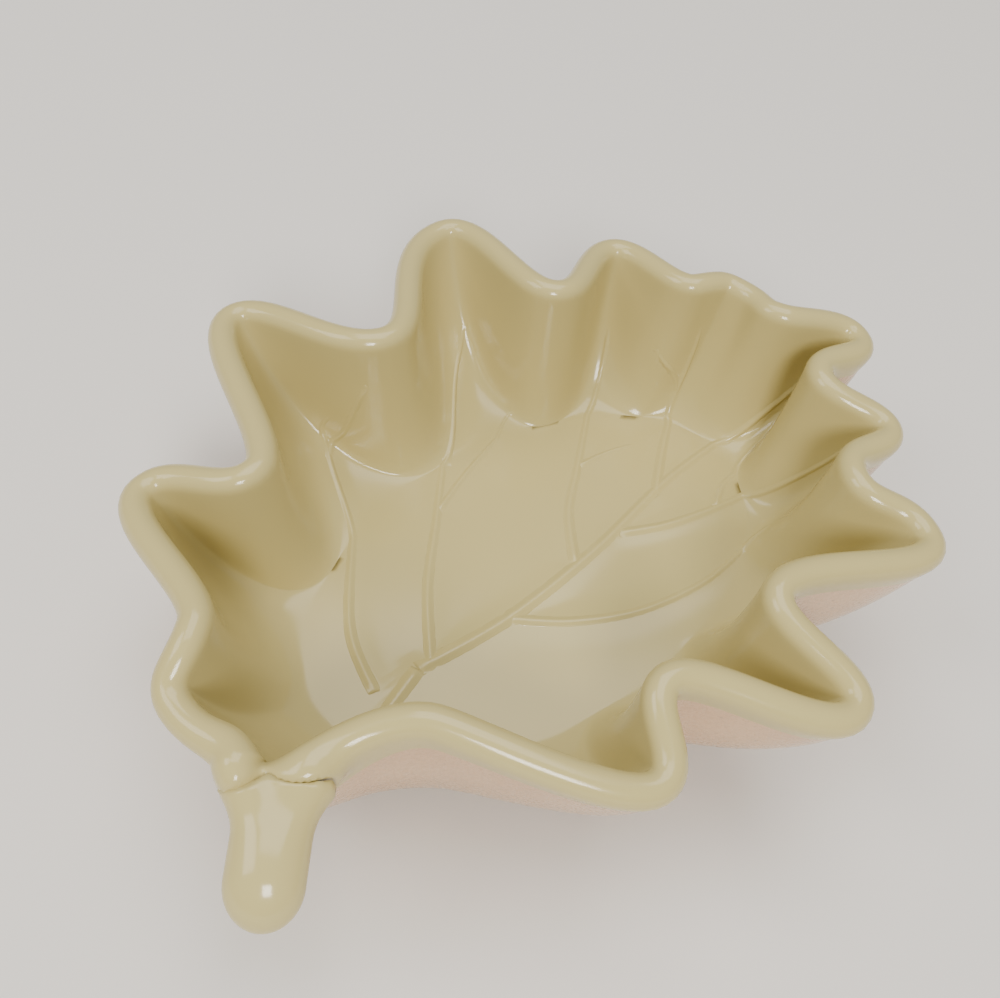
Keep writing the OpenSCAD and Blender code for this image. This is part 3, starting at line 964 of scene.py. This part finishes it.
class DISH_OT_glaze(bpy.types.Operator):
    """Makes the green glaze over the inside and the lip"""
    bl_idname = "dish.glaze"
    bl_label = "Glaze"

    def execute(self, context):
        scene = context.scene
        add_piece("glaze", [glaze_skin(scene.dish_sizes)], green_glaze(scene.dish_colours),
                  "glaze_coat")
        return {"FINISHED"}


class DISH_OT_stalk(bpy.types.Operator):
    """Makes the stalk and its soft joint with the lip"""
    bl_idname = "dish.stalk"
    bl_label = "Stalk"

    def execute(self, context):
        scene = context.scene
        add_piece("stalk", [stalk_skin(scene.dish_sizes)], green_glaze(scene.dish_colours),
                  "stalk_handle")
        return {"FINISHED"}


class DISH_OT_veins(bpy.types.Operator):
    """Makes the midrib and the side veins with their twigs"""
    bl_idname = "dish.veins"
    bl_label = "Veins"

    def execute(self, context):
        scene = context.scene
        sizes = scene.dish_sizes
        samples = swell_samples(sizes)
        for name, branches in VEINS.items():
            skins = [ridge_skin(sizes, flat, climb, size, samples) for flat, climb, size in branches]
            add_piece(name + "_ridge", skins, green_glaze(scene.dish_colours), name)
        return {"FINISHED"}


class DISH_OT_foot(bpy.types.Operator):
    """Makes the bare foot ring"""
    bl_idname = "dish.foot"
    bl_label = "Foot ring"

    def execute(self, context):
        material = clay_material(context.scene.dish_colours, "bare_clay", 0.7, 0)
        add_piece("foot", [foot_skin(context.scene.dish_sizes)], material, "foot_ring")
        return {"FINISHED"}


OPERATORS = (DISH_OT_stage, DISH_OT_clay, DISH_OT_glaze, DISH_OT_stalk, DISH_OT_veins, DISH_OT_foot)


class DISH_PT_panel(bpy.types.Panel):
    """Sidebar panel with the dish's sizes, colours and pieces"""
    bl_idname = "DISH_PT_panel"
    bl_label = "Leaf ring dish"
    bl_space_type = "VIEW_3D"
    bl_region_type = "UI"
    bl_category = "Dish"

    def draw(self, context):
        for group in (context.scene.dish_sizes, context.scene.dish_colours):
            for name in group.bl_rna.properties.keys():
                if name not in {"rna_type", "name"}:
                    self.layout.prop(group, name)
        for operator in OPERATORS:
            self.layout.operator(operator.bl_idname)


CLASSES = (DishSizes, DishColours, *OPERATORS, DISH_PT_panel)


def register():
    for item in CLASSES:
        bpy.utils.register_class(item)
    bpy.types.Scene.dish_sizes = bpy.props.PointerProperty(type=DishSizes)
    bpy.types.Scene.dish_colours = bpy.props.PointerProperty(type=DishColours)


def unregister():
    del bpy.types.Scene.dish_colours
    del bpy.types.Scene.dish_sizes
    for item in reversed(CLASSES):
        bpy.utils.unregister_class(item)


def main():
    register()
    bpy.ops.dish.stage()
    bpy.ops.dish.clay()
    bpy.ops.dish.glaze()
    bpy.ops.dish.stalk()
    bpy.ops.dish.veins()
    bpy.ops.dish.foot()


if __name__ == "__main__":
    main()
